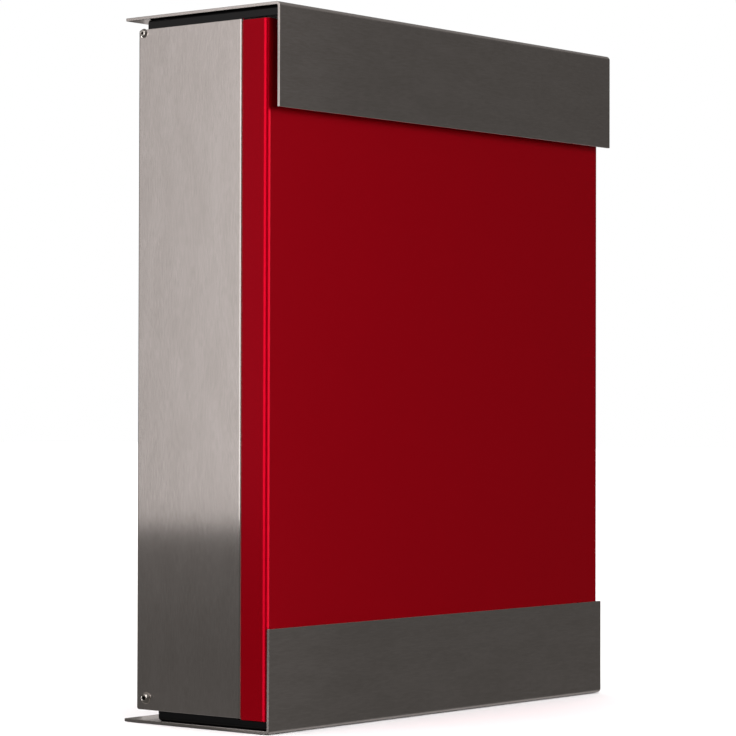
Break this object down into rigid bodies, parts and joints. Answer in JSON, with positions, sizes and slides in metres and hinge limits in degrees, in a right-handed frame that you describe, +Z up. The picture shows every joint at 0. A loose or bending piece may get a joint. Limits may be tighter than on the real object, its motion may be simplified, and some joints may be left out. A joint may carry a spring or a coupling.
{
  "type": "letter box",
  "caption": "Wall-hung folded steel letter box: red coated front, steel hood that swings up for posting, steel flap with a lock that drops for emptying.",
  "frame": {"origin": "centre of the overall box at the height of the flap's underside, on which the box stands", "axes": "+X to the right along the front, +Y to the wall, +Z up"},
  "size_m": [0.3644, 0.1382, 0.4555],
  "materials": {
    "stainless": "brushed stainless steel sheet",
    "red_coat": "satin red powder coat",
    "black_coat": "satin black powder coat",
    "fastener_steel": "bright stainless steel",
    "zinc_plate": "zinc-plated steel",
    "nickel": "nickel-plated zinc casting",
    "buffer_rubber": "matt black rubber",
    "nylon": "natural nylon",
    "spacer_plastic": "moulded black plastic"
  },
  "bodies": {
    "case": {"case_shell": "stainless", "front_cover": "red_coat", "cover_nuts": "zinc_plate", "wall_spacers": "spacer_plastic", "hood_pivot_screws": "fastener_steel", "hood_pivot_washers": "nylon", "hood_pivot_nuts": "zinc_plate", "flap_pivot_screws": "fastener_steel", "flap_pivot_washers": "nylon", "flap_pivot_nuts": "zinc_plate"},
    "hood": {"hood_plate": "stainless", "hood_bracket_left": "black_coat", "hood_bracket_right": "black_coat", "hood_nuts": "zinc_plate", "hood_buffers": "buffer_rubber"},
    "flap": {"flap_plate": "stainless", "flap_bracket_left": "black_coat", "flap_bracket_right": "black_coat", "flap_nuts": "zinc_plate", "flap_buffers": "buffer_rubber", "lock_case": "nickel", "lock_nuts": "zinc_plate"},
    "lock": {"lock_plug": "nickel", "lock_cam": "zinc_plate", "cam_washer": "zinc_plate", "cam_screw": "zinc_plate"}
  },
  "joints": [
    {"name": "hood_hinge", "type": "hinge", "parent": "case", "child": "hood", "pos_m": [0, 0.0472, 0.4444], "axis": [-1, 0, 0], "range_deg": [0, 80]},
    {"name": "flap_hinge", "type": "hinge", "parent": "case", "child": "flap", "pos_m": [0, 0.0433, 0.0162], "axis": [1, 0, 0], "range_deg": [0, 94]},
    {"name": "lock_turn", "type": "hinge", "parent": "flap", "child": "lock", "pos_m": [0, -0.0204, 0], "axis": [0, 0, -1], "range_deg": [0, 90]}
  ]
}
